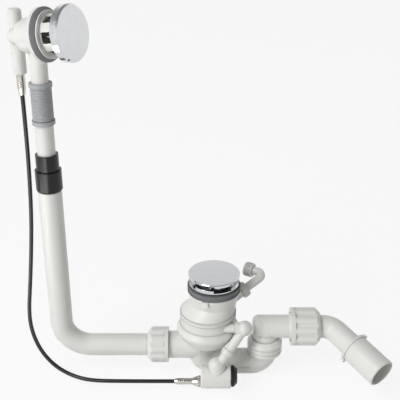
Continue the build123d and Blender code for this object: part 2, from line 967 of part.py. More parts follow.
def drive_rack():
    """Toothed slider: slanted teeth that mesh with the pinion, and a rod for the wire."""
    pitch = pi * tooth_module
    half = tooth_share * pitch / 2
    slope = tan(radians(tooth_slope))
    root = pinion_r + tooth_root
    tip = pinion_r - tooth_height
    back = root + rack_thick
    bar = [(root, -rack_down), (back, -rack_down), (back, rack_up), (root, rack_up)]
    comb = make_face(Polyline(*bar, close=True))
    tooth = make_face(
        Polyline(
            (root + past, -half - slope * tooth_root),
            (root, -half - slope * tooth_root),
            (tip, -half + slope * tooth_height),
            (tip, half - slope * tooth_height),
            (root, half + slope * tooth_root),
            (root + past, half + slope * tooth_root),
            close=True,
        )
    )
    low = int((rack_down - half) / pitch - 0.5)
    high = int((rack_up - half) / pitch - 0.5)
    for i in range(-low - 1, high + 1):
        comb += Pos(0, (i + 0.5) * pitch) * tooth
    long_comb = Pos(0, 0, pinion_mid - 2 * rack_wide) * extrude(comb, 4 * rack_wide)
    across = Plane(origin=(tube_x, tube_y, rack_z), x_dir=head_side, z_dir=(0, 0, 1))
    envelope = across * Box(4 * rack_thick, rack_wide, 4 * rack_down)
    rod_low = rack_z - rack_down - rack_rod_long
    wire_rod = upright(rack_rod_r, rod_low, rack_z - rack_down + wall, tube_x, tube_y)
    return (HEAD * long_comb & envelope) + wire_rod


def upper_ferrule():
    """Tapered end fitting of the cable under the drive tube."""
    return lathe(
        [
            (0, cable_top),
            (ferrule_tip_r, cable_top),
            (ferrule_r, cable_top + ferrule_long / 3),
            (ferrule_r, tube_low),
            (0, tube_low),
        ],
        Plane((tube_x, tube_y, 0)),
    )


def cable_bends():
    """Largest radius that the runs beside each corner of the cable allow."""
    points = [Vector(*p) for p in cable_route]
    radii = []
    for before, at, after in zip(points, points[1:], points[2:]):
        run_in = at - before
        run_out = after - at
        half_turn = radians(run_in.get_angle(run_out)) / 2
        radii.append(0.45 * min(run_in.length, run_out.length) / tan(half_turn))
    return radii


def bowden_cable():
    """Sheathed cable along its route from the head to the lever housing."""
    return bent_bar(cable_route, cable_r, cable_bends())


def lower_ferrule():
    """Straight end fitting of the cable before the lever housing."""
    where = Plane(origin=(cable_end, cable_y, cable_z), z_dir=(1, 0, 0))
    tip = lower_ferrule_long / 6
    return lathe(
        [
            (0, 0),
            (cable_r + lower_ferrule_wall, 0),
            (lower_ferrule_r, tip),
            (lower_ferrule_r, lower_ferrule_long),
            (0, lower_ferrule_long),
        ],
        where,
    )


def cable_nut():
    """Flared nut that fixes the cable to the lever housing."""
    where = Plane(origin=(box_left - cable_nut_long, cable_y, cable_z), z_dir=(1, 0, 0))
    return lathe(
        [
            (0, 0),
            (lower_ferrule_r, 0),
            (cable_nut_r, cable_nut_cone),
            (cable_nut_r, cable_nut_long),
            (0, cable_nut_long),
        ],
        where,
    )


def lever_foot():
    """Lower end of the slanting tube's axis, inside the tower."""
    return (tower_x + slant_shift, cable_y, box_top + tower_high / 2)


def past_ball(x):
    """Everything to the right of a plane through the ball."""
    size = 4 * ball_r
    return Pos(x, ball_y, ball_z) * Box(size, size, size, align=(Align.MIN, Align.CENTER, Align.CENTER))


def lever_housing():
    """T shaped case with the slanting tube that leads up to the ball round the crank."""
    middle_x = (box_left + box_right) / 2
    case = Pos(middle_x, cable_y, (box_top + box_low) / 2) * Box(
        box_right - box_left, box_deep, box_top - box_low
    )
    case = fillet(case.edges(), box_round)
    tower_top = box_top + tower_high
    tower = upright(tower_r, box_top - box_round, tower_top, tower_x, cable_y)
    tower = fillet(tower.edges().group_by(Axis.Z)[-1], box_round)
    ball = (ball_x, ball_y, ball_z)
    slant = rod(lever_tube_r, lever_foot(), ball)
    slant_in = rod(lever_tube_bore, lever_foot(), ball)
    slant_way = (Vector(*ball) - Vector(*lever_foot())).normalized()
    collar_low = Vector(*lever_foot()) + slant_way * slant_collar_from
    collar = rod(slant_collar_r, tuple(collar_low), tuple(collar_low + slant_way * slant_collar_long))
    neck = rod(lever_boss_r + wall, (neck_start, ball_y, ball_z), ball)
    round_shaft = Plane(origin=ball, z_dir=(1, 0, 0))
    outside = case + tower + slant + collar + neck + round_shaft * Sphere(ball_r)
    outside -= past_ball(ball_x + ball_r * sin(radians(cap_foot)))
    boss_room = rod(
        lever_boss_r + run_gap,
        (neck_start, ball_y, ball_z),
        (lever_boss_end + run_gap, ball_y, ball_z),
    )
    crank_room = rod(crank_r + clear, (lever_boss_end, ball_y, ball_z), ball)
    hollow = round_shaft * Sphere(ball_r - ball_wall)
    slider_way = rod(
        slider_r + run_gap,
        (box_left + cable_seat / 2, cable_y, cable_z),
        (box_left + cable_seat + slider_long + rack_travel + slider_room, cable_y, cable_z),
    )
    wire_in = rod(cable_r, (box_left, cable_y, cable_z), (box_left + cable_seat, cable_y, cable_z))
    return outside - hollow - crank_room - boss_room - slant_in - slider_way - wire_in


def housing_cap():
    """Round closing plug on the right end of the lever housing."""
    where = Plane(origin=(box_right, cable_y, (box_top + box_low) / 2), z_dir=(1, 0, 0))
    return lathe(
        [
            (0, 0),
            (box_cap_r, 0),
            (box_cap_r, box_cap_long / 2),
            (box_cap_r - box_cap_long / 2, box_cap_long),
            (0, box_cap_long),
        ],
        where,
    )


def lever_cap():
    """Domed cover that closes the ball over the crank."""
    in_r = ball_r - ball_wall
    foot_out = (ball_r * cos(radians(cap_foot)), ball_r * sin(radians(cap_foot)))
    middle = radians((cap_foot + 90) / 2)
    foot_in = ((in_r**2 - foot_out[1] ** 2) ** 0.5, foot_out[1])
    outline = [
        ThreePointArc(foot_out, (ball_r * cos(middle), ball_r * sin(middle)), (0, ball_r)),
        Line((0, ball_r), (0, in_r)),
        ThreePointArc((0, in_r), (in_r * cos(middle), in_r * sin(middle)), foot_in),
        Line(foot_in, foot_out),
    ]
    return Plane(origin=(ball_x + run_gap, ball_y, ball_z), z_dir=(1, 0, 0)) * turned(outline)


def cable_slider():
    """Slider on the end of the cable's wire."""
    start = box_left + cable_seat + rack_travel
    return rod(slider_r, (start, cable_y, cable_z), (start + slider_long, cable_y, cable_z))


def lift_shaft():
    """Shaft through the bowl's boss: crank in the ball cap, arm with a round tip under the stem."""
    crank_x = lever_boss_end + clear
    shaft = rod(shaft_r, (-arm_wide / 2, ball_y, ball_z), (crank_x, ball_y, ball_z))
    crank = rod(crank_r, (crank_x, ball_y, ball_z), (crank_x + crank_thick, ball_y, ball_z))
    raise_tip = arm_long * sin(radians(arm_half))
    tip_y = ball_y + arm_long * cos(radians(arm_half))
    tip_z = ball_z + raise_tip
    tip = rod(arm_tip_r, (-arm_wide / 2, tip_y, tip_z), (arm_wide / 2, tip_y, tip_z))
    hub = rod(shaft_r + arm_hub_wall, (-arm_wide / 2, ball_y, ball_z), (arm_wide / 2, ball_y, ball_z))
    web_plane = Plane(origin=(0, ball_y, ball_z), x_dir=(0, tip_y - ball_y, raise_tip), z_dir=(1, 0, 0))
    web = web_plane * Box(arm_long, 2 * shaft_r, arm_wide, align=(Align.MIN, Align.CENTER, Align.CENTER))
    return shaft + crank + hub + web + tip


def shaft_seal():
    """O-ring round the shaft in the mouth of the bowl's boss."""
    where = Plane(origin=(lever_boss_end - wall, ball_y, ball_z), z_dir=(1, 0, 0))
    return tube(shaft_r + shaft_seal_wall, shaft_r + run_gap, run_gap, wall - run_gap, where)


def outlet_elbow():
    """Elbow from the riser to the outlet: closed round heel, and a flared socket for the bend."""
    where = Plane(origin=(0, 0, outlet_z), z_dir=(1, 0, 0))
    heel_x = riser_x - riser_tail_r
    arm = lathe(
        [
            (0, heel_x),
            (outlet_r, heel_x),
            (outlet_r, socket_flare_x),
            (socket_r, socket_x),
            (socket_r, socket_end),
            (0, socket_end),
        ],
        where,
    )
    arm = fillet(arm.edges().group_by(Axis.X)[0], elbow_round)
    column = upright(riser_tail_r, riser_tail_low, outlet_z - outlet_r / 2, riser_x)
    column += upright(outlet_r, outlet_z - outlet_r / 2, outlet_z, riser_x)
    column_in = upright(riser_tail_r - outlet_wall, riser_tail_low, outlet_z - outlet_r / 2, riser_x)
    column_in += upright(outlet_r - outlet_wall, outlet_z - outlet_r / 2, outlet_z, riser_x)
    arm_in = tube(outlet_r - outlet_wall, 0, heel_x + elbow_round, socket_end, where)
    socket_in = tube(bend_pipe_r + run_gap, 0, socket_x, socket_end, where)
    return column + arm - column_in - arm_in - socket_in


def riser_nut():
    """Nut that holds the elbow in the riser socket, with rings round it."""
    low = riser_socket_top + riser_seal_high + riser_nut_lip - riser_nut_high
    in_r = riser_socket_r + screw_gap
    out_r = in_r + riser_nut_wall
    top = low + riser_nut_high
    ring = riser_nut_high / (2 * riser_ring_count + 1)
    outline = [(in_r, low)]
    for i in range(riser_ring_count):
        z = low + 2 * i * ring
        outline += [(out_r, z), (out_r, z + ring), (out_r - riser_ring_out, z + 1.5 * ring)]
    outline += [
        (out_r - riser_ring_out, top - 1.5 * ring),
        (riser_tail_r + riser_nut_wall / 2, top),
        (riser_tail_r + clear, top),
        (riser_tail_r + clear, top - riser_nut_lip),
        (in_r, top - riser_nut_lip),
    ]
    return lathe(outline, Plane((riser_x, 0, 0)))


def riser_seal():
    """Rubber ring on the riser socket's face."""
    low = riser_socket_top
    where = Plane((riser_x, 0, 0))
    return tube(riser_socket_r - run_gap, riser_tail_r + run_gap, low, low + riser_seal_high, where)


def outlet_union_nut():
    """Hand nut that holds the outlet bend in the elbow's socket."""
    open_end = socket_end + union_seal + union_lip - outlet_nut_long
    where = Plane(origin=(open_end, 0, outlet_z), z_dir=(1, 0, 0))
    return union_nut(where, socket_r, bend_pipe_r + clear, outlet_nut_long, union_lip, union_wall)


def outlet_union_seal():
    """Rubber ring that this nut presses on the socket's end."""
    where = Plane(origin=(socket_end, 0, outlet_z), z_dir=(1, 0, 0))
    return tube(socket_r - run_gap, bend_pipe_r + run_gap, 0, union_seal, where)


bend_way = Vector(
    cos(radians(bend_angle)),
    -sin(radians(bend_angle)) * cos(radians(bend_roll)),
    -sin(radians(bend_angle)) * sin(radians(bend_roll)),
)
bend_corner = Vector(bend_x, 0, outlet_z)
BEND = Plane(origin=bend_corner, x_dir=Vector(0, 1, 0).cross(bend_way), z_dir=bend_way)


def outlet_bend():
    """Short bend that turns in the union."""
    end = bend_corner + bend_way * bend_leg
    points = [(socket_x + clear, 0, outlet_z), tuple(bend_corner), tuple(end)]
    bore_r = bend_pipe_r - bend_pipe_wall
    return bent_bar(points, bend_pipe_r, [bend_round]) - bent_bar(points, bore_r, [bend_round])


def outlet_sleeve():
    """Sleeve on the end of the bend that the drain pipe goes over, with a collar and two stop lugs."""
    collar_r = sleeve_r + sleeve_collar_out
    collar_end = sleeve_start + sleeve_collar_long
    shell = lathe(
        [
            (bend_pipe_r + run_gap, sleeve_start),
            (collar_r, sleeve_start),
            (collar_r, collar_end),
            (sleeve_r, collar_end),
            (sleeve_r, sleeve_end - sleeve_edge),
            (sleeve_r - sleeve_edge, sleeve_end),
            (sleeve_bore_r, sleeve_end),
            (sleeve_bore_r, bend_leg + 2 * wall),
            (bend_pipe_r - bend_pipe_wall, bend_leg + run_gap),
            (bend_pipe_r + run_gap, bend_leg + run_gap),
        ]
    )
    lug = Pos(sleeve_r - sleeve_edge, 0, sleeve_start) * Box(
        sleeve_edge + sleeve_collar_out + sleeve_lug_out, sleeve_lug_wide, sleeve_collar_long,
        align=(Align.MIN, Align.CENTER, Align.MIN),
    )
    return BEND * (shell + around(lug, sleeve_lug_count, sleeve_lug_turn))


NODES = [
    plug_cap,
    plug_stem,
    plug_seal,
    waste_flange,
    flange_gasket,
    clamp_flange,
    inlet_elbow,
    inlet_nut,
    waste_bell,
    clamp_ring,
    bowl_seal,
    trap_body,
    overflow_bend_pipe,
    overflow_union_nut,
    overflow_union_seal,
    slip_coupling,
    coupling_seal,
    upper_pipe,
    flexible_hose,
    overflow_elbow,
    spindle_seal,
    overflow_gasket,
    overflow_cage,
    overflow_screws,
    overflow_dial,
    dial_spindle,
    drive_housing,
    drive_cap,
    drive_rack,
    upper_ferrule,
    bowden_cable,
    lower_ferrule,
    cable_nut,
    lever_housing,
    housing_cap,
    lever_cap,
    cable_slider,
    lift_shaft,
    shaft_seal,
    outlet_elbow,
    riser_nut,
    riser_seal,
    outlet_union_nut,
    outlet_union_seal,
    outlet_bend,
    outlet_sleeve,
]


def main():
    os.makedirs("parts", exist_ok=True)
    for make in NODES:
        made = make()
        solids = made if isinstance(made, list) else made.solids()
        export_step(Compound(children=list(solids)), f"parts/{make.__name__}.step")
    route = [Vector(*p) for p in cable_route]
    length = sum((b - a).length for a, b in zip(route, route[1:]))
    print("cable radii", [round(r) for r in cable_bends()], "corner length", round(length))
    print("plug lift", round(lift, 3), "rack travel", round(rack_travel, 3))


main()
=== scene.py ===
"""Looks of a bath waste and overflow: finishes, lever housing, cable, thread, grips, crimps and a studio."""
import json
import math

import bmesh
import bpy
from bpy.props import FloatProperty, FloatVectorProperty, IntProperty, PointerProperty
from bpy.types import Operator, Panel, PropertyGroup
from mathutils import Matrix, Vector


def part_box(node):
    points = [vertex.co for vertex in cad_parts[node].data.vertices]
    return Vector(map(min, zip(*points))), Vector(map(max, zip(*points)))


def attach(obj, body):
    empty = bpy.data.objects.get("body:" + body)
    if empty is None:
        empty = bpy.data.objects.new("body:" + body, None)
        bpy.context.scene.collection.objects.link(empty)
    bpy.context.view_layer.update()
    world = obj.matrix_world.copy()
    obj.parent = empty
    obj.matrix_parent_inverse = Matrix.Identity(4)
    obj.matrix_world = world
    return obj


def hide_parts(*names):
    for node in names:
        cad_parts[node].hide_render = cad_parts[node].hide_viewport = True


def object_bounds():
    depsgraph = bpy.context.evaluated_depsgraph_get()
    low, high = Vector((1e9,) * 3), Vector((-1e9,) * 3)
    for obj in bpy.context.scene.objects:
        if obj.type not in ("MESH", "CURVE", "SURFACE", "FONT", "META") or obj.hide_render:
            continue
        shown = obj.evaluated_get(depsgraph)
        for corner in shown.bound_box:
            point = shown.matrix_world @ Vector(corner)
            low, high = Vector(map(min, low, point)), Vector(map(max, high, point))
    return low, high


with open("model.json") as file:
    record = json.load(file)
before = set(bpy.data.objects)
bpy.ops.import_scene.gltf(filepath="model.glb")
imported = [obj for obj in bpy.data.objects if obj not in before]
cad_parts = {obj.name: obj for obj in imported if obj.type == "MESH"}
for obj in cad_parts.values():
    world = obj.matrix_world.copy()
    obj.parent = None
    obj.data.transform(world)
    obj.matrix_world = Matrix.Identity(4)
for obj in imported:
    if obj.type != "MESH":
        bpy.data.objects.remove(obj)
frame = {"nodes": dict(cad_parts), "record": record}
CAD_LOW, CAD_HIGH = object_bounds()
SLOT_OF = {row["node"]: row["material_slot"] for row in frame["record"]["subparts"]}
MOUNTS = {mount["name"]: mount for mount in frame["record"]["mounts"]}

bl_info = {
    "name": "Bath waste and overflow",
    "version": (1, 0, 0),
    "blender": (4, 5, 0),
    "location": "3D View > Sidebar > Bath waste",
    "description": "Finishes, lever housing, cable, thread, grips, crimps and studio for a bath waste",
    "category": "Object",
}

MM = 0.001
UPRIGHT = Vector((0, 0, 1))
ALONG_X = Vector((1, 0, 0))
WHITE = (1.0, 1.0, 1.0, 1.0)

# Places in a point's numbers, and in the two corners of a box
X, Z = 0, 2
LOW, HIGH = 0, 1

# Sockets of a Mix node for its two colours and for the result
COLOUR_A, COLOUR_B, COLOUR_OUT = 6, 7, 2

# Facets of the lever housing's bars, its case and case edges, and its dome, then of rings and small beads
BAR_STEPS = 128
CASE_STEPS = 32
CASE_EDGE_STEPS = 5
DOME_STEPS = 96
RING_STEPS = 48
BEAD_STEPS = 10
BEAD_RINGS = 8

# Painted shade in the seams of moulded plastic, darker where a place is shut in: its reach, how open a place
# is where it is full and where it ends, its share where it is full, and its shade of the plastic's colour
PAINTED_SEAM_SHADE_REACH = 3.5 * MM
PAINTED_SEAM_SHADE_FULL_AT = 0.2
PAINTED_SEAM_SHADE_ENDS_AT = 0.92
PAINTED_SEAM_SHADE_SHARE = 0.75
PAINTED_SEAM_SHADE_TONE = 0.35

# How far the roughness of moulded plastic strays to each side
GLOSS_STRAY = 0.06

# Wiped metal: the shade of a smear, the usual span of its noise, the share of the roughness where it is wiped
# bright and where it is dull, and the scale that draws hairline marks out along Z
SMEAR_SHADE = 0.9
SMEAR_LOW, SMEAR_HIGH = 0.3, 0.7
WIPED_SHARE, DULL_SHARE = 0.6, 1.5
MARK_STRETCH = (1.0, 1.0, 0.08)

# Shade of rubber where it has no bloom
BARE_RUBBER = 0.72

# Direction of the filling tube: turned from +X about the waste axis, then raised
INLET_TURN = math.radians(31.0)
INLET_RISE = math.radians(22.0)
INLET_AXIS = Vector((
    math.cos(INLET_TURN) * math.cos(INLET_RISE),
    math.sin(INLET_TURN) * math.cos(INLET_RISE),
    math.sin(INLET_RISE),
))

# Share of the thread's length in which it rises at its start and sinks at its end
THREAD_RUN_OUT = 0.08

# Lever housing, in metres: its upright neck, and the slanting tube with its collar up to the ball
NECK_X = 0.0040
NECK_RADIUS = 0.0115
NECK_TOP = -0.0900
SLANT_FOOT = Vector((0.0090, -0.0460, -0.0955))
SLANT_END = Vector((0.0415, -0.0260, -0.0545))
SLANT_RADIUS = 0.0064
COLLAR_RADIUS = 0.0082
COLLAR_FROM = 0.0120

# Trim of the lever housing: its gap to each surface that stays, how far the neck's bar runs into its dome,
# the height from which all stays, and the size of the block that keeps it
TRIM_GAP = 0.02 * MM
NECK_RUN = 0.5 * MM
UNCUT_FROM = NECK_TOP + 2 * MM
UNCUT_ROOM = 0.2

# Points of the lever housing that are one, and the angle from which its edges stay sharp
MERGE_DISTANCE = 0.003 * MM
SHARP_ANGLE = math.radians(30.0)

# Grip ridges: radius of their ring, their length, and how far their middle is from the end of the piece
CABLE_NUT_RING, CABLE_NUT_RIDGE, CABLE_NUT_INSET = 7.5 * MM, 4.4 * MM, 2.4 * MM
INLET_NUT_RING, INLET_NUT_RIDGE = 10.5 * MM, 8.2 * MM
END_CAP_RING, END_CAP_RIDGE, END_CAP_INSET = 14.0 * MM, 3.8 * MM, 2.0 * MM

# Crimped beads: radius of their ring, and how far the first is from the ferrule's cable end
UPPER_CRIMP_RING, UPPER_CRIMP_START = 5.0 * MM, 11.5 * MM
LOWER_CRIMP_RING, LOWER_CRIMP_START = 4.2 * MM, 7.0 * MM

# Length of the sheathed cable, and its route from the upper ferrule to the lower one, in metres
CABLE_ROUTE = [
    (-0.238572, 0.019391, 0.2600),
    (-0.238572, 0.019391, 0.2120),
    (-0.2404, 0.0215, 0.1510),
    (-0.2421, 0.0170, 0.0954),
    (-0.2457, 0.0115, 0.0457),
    (-0.2506, 0.0050, -0.0050),
    (-0.2546, -0.0020, -0.0440),
    (-0.2519, -0.0080, -0.0720),
    (-0.2404, -0.0160, -0.0984),
    (-0.2207, -0.0260, -0.1169),
    (-0.1970, -0.0350, -0.1260),
    (-0.1710, -0.0425, -0.1288),
    (-0.1320, -0.0460, -0.1275),
    (-0.0540, -0.0460, -0.1275),
]

# Floor, in metres: its half width, and from where to where it fades to plain white
FLOOR_HALF = 8.0
FADE_FROM = 2.5
FADE_TO = 7.0

# Height of a direction, from 0 level to 1 straight up, at which the ceiling starts and is all there is
CEILING_FROM = 0.38
CEILING_FULL = 0.8

# Lamps, in metres: their places, and their widths and heights
KEY_PLACE, KEY_SIZE = (-3.0, -2.7, 4.5), (2.2, 2.2)
STRIP_PLACE, STRIP_SIZE = (-2.4, -2.2, 0.7), (1.0, 2.9)
GLEAM_PLACE, GLEAM_SIZE = (-0.5, -0.56, CAD_LOW.z + 0.01), (0.36, 0.95)
GLEAM_TURN = math.radians(27.0)

# Camera, at the photograph's viewing angle: its place in metres, its tilt, and lens and sensor in millimetres
CAMERA_PLACE = (-0.019, -0.898, 0.544)
CAMERA_TILT = math.radians(65.0)
CAMERA_LENS = 69.3
CAMERA_SENSOR = 36.0

# Material of each slot, filled by the first step
FINISH = {}


def linear(colour):
    """An sRGB hex colour as linear red, green and blue."""
    parts = [int(colour[i:i + 2], 16) / 255 for i in (0, 2, 4)]
    return tuple(c / 12.92 if c <= 0.04045 else ((c + 0.055) / 1.055) ** 2.4 for c in parts)


class WasteFinishes(PropertyGroup):
    """Colours of the finishes, and the rounding of edges."""

    polypropylene: FloatVectorProperty(
        name="White polypropylene", description="Pipes, trap and nuts", subtype="COLOR", size=3,
        min=0, max=1, default=linear("e6e6e2"))
    chrome: FloatVectorProperty(
        name="Chrome", description="Knob, plug cover and flange", subtype="COLOR", size=3,
        min=0, max=1, default=linear("d8dadc"))
    gasket: FloatVectorProperty(
        name="Grey rubber", description="The two large gaskets", subtype="COLOR", size=3,
        min=0, max=1, default=linear("7c7e80"))
    nitrile: FloatVectorProperty(
        name="Black rubber", description="Small seals", subtype="COLOR", size=3,
        min=0, max=1, default=linear("1d1d1e"))
    abs_black: FloatVectorProperty(
        name="Black ABS", description="Slip coupling and housing cap", subtype="COLOR", size=3,
        min=0, max=1, default=linear("141415"))
    acetal: FloatVectorProperty(
        name="Grey acetal", description="Gear, rack, shaft and stem", subtype="COLOR", size=3,
        min=0, max=1, default=linear("a9abad"))
    hose: FloatVectorProperty(
        name="Grey hose", description="Ribbed hose", subtype="COLOR", size=3,
        min=0, max=1, default=linear("aeb0b2"))
    sheath: FloatVectorProperty(
        name="Cable sheath", description="Sheath of the cable", subtype="COLOR", size=3,
        min=0, max=1, default=linear("151516"))
    nickel: FloatVectorProperty(
        name="Nickel", description="Ferrules and cable nut", subtype="COLOR", size=3,
        min=0, max=1, default=linear("c9c6bf"))
    steel: FloatVectorProperty(
        name="Stainless steel", description="Screws", subtype="COLOR", size=3,
        min=0, max=1, default=linear("b6b8ba"))
    edge_round: FloatProperty(
        name="Edge rounding", description="Radius of the moulded edges", unit="LENGTH",
        min=0, max=0.003, default=0.5 * MM)


class WasteSizes(PropertyGroup):
    """Sizes of the pieces that are made here."""

    cable_diameter: FloatProperty(
        name="Cable diameter", description="Over the sheath", unit="LENGTH",
        min=0.002, max=0.01, default=5.5 * MM)
    case_round: FloatProperty(
        name="Case end rounding", description="Radius round the ends of the lever housing's case",
        unit="LENGTH", min=0.0002, max=0.005, default=2.2 * MM)
    thread_pitch: FloatProperty(
        name="Thread pitch", description="Pitch of the inlet's thread", unit="LENGTH",
        min=0.0005, max=0.004, default=1.8 * MM)
    thread_depth: FloatProperty(
        name="Thread depth", description="Height of the inlet's thread", unit="LENGTH",
        min=0.0002, max=0.002, default=0.8 * MM)
    cable_nut_ridges: IntProperty(
        name="Cable nut ridges", description="Ridges round the cable nut", min=6, max=60, default=22)
    inlet_nut_ridges: IntProperty(
        name="Inlet nut ridges", description="Ridges round the nut of the filling tube",
        min=6, max=60, default=18)
    end_cap_ridges: IntProperty(
        name="End cap ridges", description="Ridges round the black cap of the lever housing",
        min=6, max=80, default=36)
    ridge_size: FloatProperty(
        name="Ridge size", description="Half width of a ridge", unit="LENGTH",
        min=0.0002, max=0.002, default=0.6 * MM)
    crimp_count: IntProperty(
        name="Crimps", description="Beads pressed round each ferrule", min=1, max=8, default=3)
    crimp_spacing: FloatProperty(
        name="Crimp spacing", description="From bead to bead", unit="LENGTH",
        min=0.001, max=0.006, default=2.6 * MM)
    crimp_bead: FloatProperty(
        name="Crimp bead", description="Radius of a bead", unit="LENGTH",
        min=0.0002, max=0.002, default=0.55 * MM)


class WasteStage(PropertyGroup):
    """Floor and light."""

    floor: FloatVectorProperty(
        name="Floor", description="Colour of the floor", subtype="COLOR", size=3,
        min=0, max=1, default=linear("f6f6f5"))
    haze: FloatProperty(
        name="Floor haze", description="Share of plain white in the floor where it is seen",
        subtype="FACTOR", min=0, max=1, default=0.86)
    ceiling: FloatProperty(
        name="Ceiling", description="Brightness that metal shows of the room overhead",
        subtype="FACTOR", min=0, max=1, default=0.3)
    key: FloatProperty(
        name="Key light", description="Power of the main lamp", unit="POWER", min=0, default=130.0)
    strip: FloatProperty(
        name="Strip light", description="Power of the tall lamp", unit="POWER", min=0, default=44.0)
    gleam: FloatProperty(
        name="Gleam", description="Power of the low lamp that shows in gloss", unit="POWER",
        min=0, default=4.5)
    sky: FloatProperty(
        name="Sky", description="Strength of the light from all round", min=0, default=0.34)


def add(tree, kind, links=None, values=None, **settings):
    """A node with its settings, its socket values and the links that lead into it."""
    node = tree.nodes.new(kind)
    for key, value in settings.items():
        setattr(node, key, value)
    for key, value in (values or {}).items():
        node.inputs[key].default_value = value
    for key, socket in (links or {}).items():
        tree.links.new(socket, node.inputs[key])
    return node


def fresh_material(name):
    """An empty node material, its tree, and the place of each point on the object."""
    material = bpy.data.materials.new(name)
    material.use_nodes = True
    tree = material.node_tree
    tree.nodes.clear()
    return material, tree, add(tree, "ShaderNodeTexCoord").outputs["Object"]


def shades(colour, darker):
    """A colour and its darker twin, as RGBA."""
    return (*colour, 1.0), (*(c * darker for c in colour), 1.0)


def scale_of(size_mm):
    """The texture scale at which a pattern is this many millimetres across."""
    return 1 / (size_mm * MM)


def surface(tree, links, values, height, depth_mm, edge):
    """Ends a material in its shader, with fine relief on top of softly rounded edges."""
    rounded = add(tree, "ShaderNodeBevel", values={"Radius": edge}, samples=4)
    relief = add(
        tree, "ShaderNodeBump", {"Height": height, "Normal": rounded.outputs["Normal"]},
        {"Strength": 1.0, "Distance": depth_mm * MM})
    shader = add(
        tree, "ShaderNodeBsdfPrincipled", {**links, "Normal": relief.outputs["Normal"]}, values)
    add(tree, "ShaderNodeOutputMaterial", {"Surface": shader.outputs["BSDF"]})


def moulded_plastic(name, colour, edge, *, darker, ior, roughness, flow_mm, grain_mm, depth_mm):
    """Moulded plastic: faint clouds where the melt flowed, a fine eroded grain and a satin gloss.

    Grooves and places against the next piece get painted shade: the colour is darker where they are shut in.
    """
    material, tree, at = fresh_material(name)
    light, dark = shades(colour, darker)
    flow = add(tree, "ShaderNodeTexNoise", {"Vector": at}, {"Scale": scale_of(flow_mm), "Detail": 3.0})
    cloud = add(
        tree, "ShaderNodeMix", {"Factor": flow.outputs["Fac"]}, {COLOUR_A: dark, COLOUR_B: light},
        data_type="RGBA")
    # Painted shade: the colour darkens in grooves and against the next piece, by how shut in the place is
    open_air = add(tree, "ShaderNodeAmbientOcclusion", values={"Distance": PAINTED_SEAM_SHADE_REACH}, samples=6)
    painted_shade_share = add(
        tree, "ShaderNodeMapRange", {"Value": open_air.outputs["AO"]},
        {"From Min": PAINTED_SEAM_SHADE_FULL_AT, "From Max": PAINTED_SEAM_SHADE_ENDS_AT, "To Min": PAINTED_SEAM_SHADE_SHARE, "To Max": 0.0})
    seam_shaded_colour = add(
        tree, "ShaderNodeMix", {"Factor": painted_shade_share.outputs["Result"], COLOUR_A: cloud.outputs[COLOUR_OUT]},
        {COLOUR_B: shades(colour, PAINTED_SEAM_SHADE_TONE)[1]}, data_type="RGBA")
    gloss = add(
        tree, "ShaderNodeMapRange", {"Value": flow.outputs["Fac"]},
        {"To Min": roughness - GLOSS_STRAY, "To Max": roughness + GLOSS_STRAY})
    grain = add(tree, "ShaderNodeTexNoise", {"Vector": at}, {"Scale": scale_of(grain_mm), "Detail": 2.0})
    surface(
        tree, {"Base Color": seam_shaded_colour.outputs[COLOUR_OUT], "Roughness": gloss.outputs["Result"]},
        {"IOR": ior}, grain.outputs["Fac"], depth_mm, edge)
    return material


def plated_metal(name, colour, edge, *, roughness, smear_mm, scratch_mm, depth_mm):
    """Plated or plain metal: bright, with wiped smears in the gloss and hairline marks."""
    material, tree, at = fresh_material(name)
    light, dark = shades(colour, SMEAR_SHADE)
    smear = add(tree, "ShaderNodeTexNoise", {"Vector": at}, {"Scale": scale_of(smear_mm), "Detail": 4.0})
    tint = add(
        tree, "ShaderNodeMix", {"Factor": smear.outputs["Fac"]}, {COLOUR_A: dark, COLOUR_B: light},
        data_type="RGBA")
    gloss = add(
        tree, "ShaderNodeMapRange", {"Value": smear.outputs["Fac"]},
        {"From Min": SMEAR_LOW, "From Max": SMEAR_HIGH,
         "To Min": roughness * WIPED_SHARE, "To Max": roughness * DULL_SHARE})
    stretched = add(tree, "ShaderNodeMapping", {"Vector": at}, {"Scale": MARK_STRETCH})
    hair = add(
        tree, "ShaderNodeTexNoise", {"Vector": stretched.outputs["Vector"]},
        {"Scale": scale_of(scratch_mm), "Detail": 2.0})
    surface(
        tree, {"Base Color": tint.outputs[COLOUR_OUT], "Roughness": gloss.outputs["Result"]},
        {"Metallic": 1.0}, hair.outputs["Fac"], depth_mm, edge)
    return material


def moulded_rubber(name, colour, edge, *, bloom_mm, grain_mm, depth_mm):
    """Vulcanised rubber: matt, with a pale bloom in patches and a pebbled skin."""
    material, tree, at = fresh_material(name)
    light, dark = shades(colour, BARE_RUBBER)
    bloom = add(tree, "ShaderNodeTexNoise", {"Vector": at}, {"Scale": scale_of(bloom_mm), "Detail": 4.0})
    tint = add(
        tree, "ShaderNodeMix", {"Factor": bloom.outputs["Fac"]}, {COLOUR_A: dark, COLOUR_B: light},
        data_type="RGBA")
    pebble = add(tree, "ShaderNodeTexVoronoi", {"Vector": at}, {"Scale": scale_of(grain_mm)})
    surface(
        tree, {"Base Color": tint.outputs[COLOUR_OUT]}, {"Roughness": 0.72, "IOR": 1.52},
        pebble.outputs["Distance"], depth_mm, edge)
    return material


